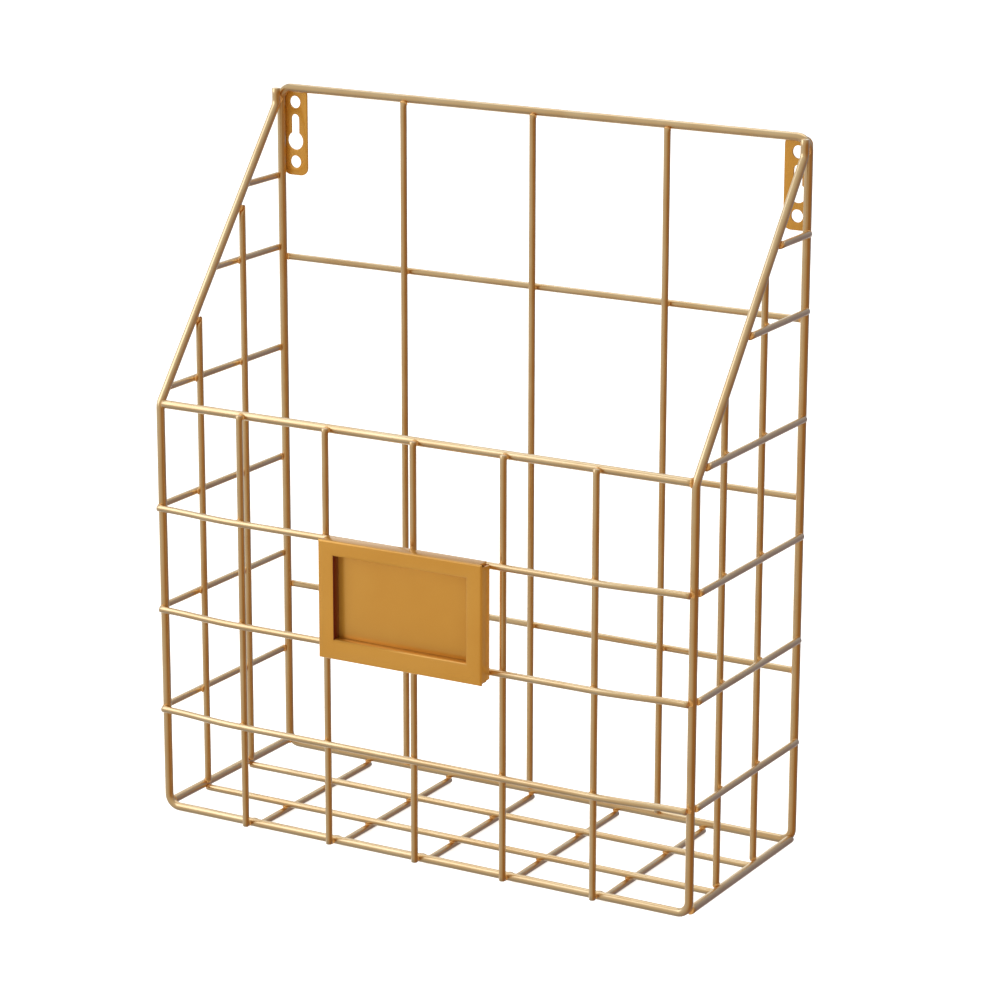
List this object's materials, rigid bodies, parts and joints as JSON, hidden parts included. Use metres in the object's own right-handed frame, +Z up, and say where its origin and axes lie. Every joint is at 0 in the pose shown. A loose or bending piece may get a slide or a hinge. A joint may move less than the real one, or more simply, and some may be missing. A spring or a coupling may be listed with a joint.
{
  "type": "wall magazine rack",
  "caption": "Welded wire basket that hangs on a wall by keyhole plates and holds magazines upright, with sloping sides and a label holder on its front.",
  "frame": {"origin": "middle of the rack's box, at the underside of the lowest floor wires", "axes": "+Z up, +Y towards the wall, -Y is the front with the label holder, +X to the right as seen from the front"},
  "size_m": [0.2972, 0.1314, 0.3529],
  "materials": {
    "frame_wire": "satin gold lacquer on 4.2 mm steel wire",
    "grid_wire": "satin gold lacquer on 3.4 mm steel wire",
    "hanger_plate": "satin gold lacquer on sheet steel",
    "label_holder": "satin gold lacquer on folded sheet steel"
  },
  "bodies": {
    "root": {"back_crosswire_1": "grid_wire", "back_crosswire_2": "grid_wire", "back_crosswire_3": "grid_wire", "back_frame": "frame_wire", "back_upright_1": "grid_wire", "back_upright_2": "grid_wire", "back_upright_3": "grid_wire", "base_rail_left": "frame_wire", "base_rail_right": "frame_wire", "floor_crosswire_1": "grid_wire", "floor_crosswire_2": "grid_wire", "floor_slat_1": "grid_wire", "floor_slat_2": "grid_wire", "floor_slat_3": "grid_wire", "floor_slat_4": "grid_wire", "floor_slat_5": "grid_wire", "front_crosswire_1": "grid_wire", "front_crosswire_2": "grid_wire", "front_crosswire_3": "grid_wire", "front_frame": "frame_wire", "front_top_rail": "frame_wire", "front_upright_1": "grid_wire", "front_upright_2": "grid_wire", "front_upright_3": "grid_wire", "front_upright_4": "grid_wire", "front_upright_5": "grid_wire", "hanger_plate_left": "hanger_plate", "hanger_plate_right": "hanger_plate", "label_back_plate": "label_holder", "label_bezel": "label_holder", "side_crosswire_left_1": "grid_wire", "side_crosswire_left_2": "grid_wire", "side_crosswire_left_3": "grid_wire", "side_crosswire_left_4": "grid_wire", "side_crosswire_left_5": "grid_wire", "side_crosswire_left_6": "grid_wire", "side_crosswire_right_1": "grid_wire", "side_crosswire_right_2": "grid_wire", "side_crosswire_right_3": "grid_wire", "side_crosswire_right_4": "grid_wire", "side_crosswire_right_5": "grid_wire", "side_crosswire_right_6": "grid_wire", "side_upright_left_1": "grid_wire", "side_upright_left_2": "grid_wire", "side_upright_right_1": "grid_wire", "side_upright_right_2": "grid_wire"}
  },
  "joints": []
}
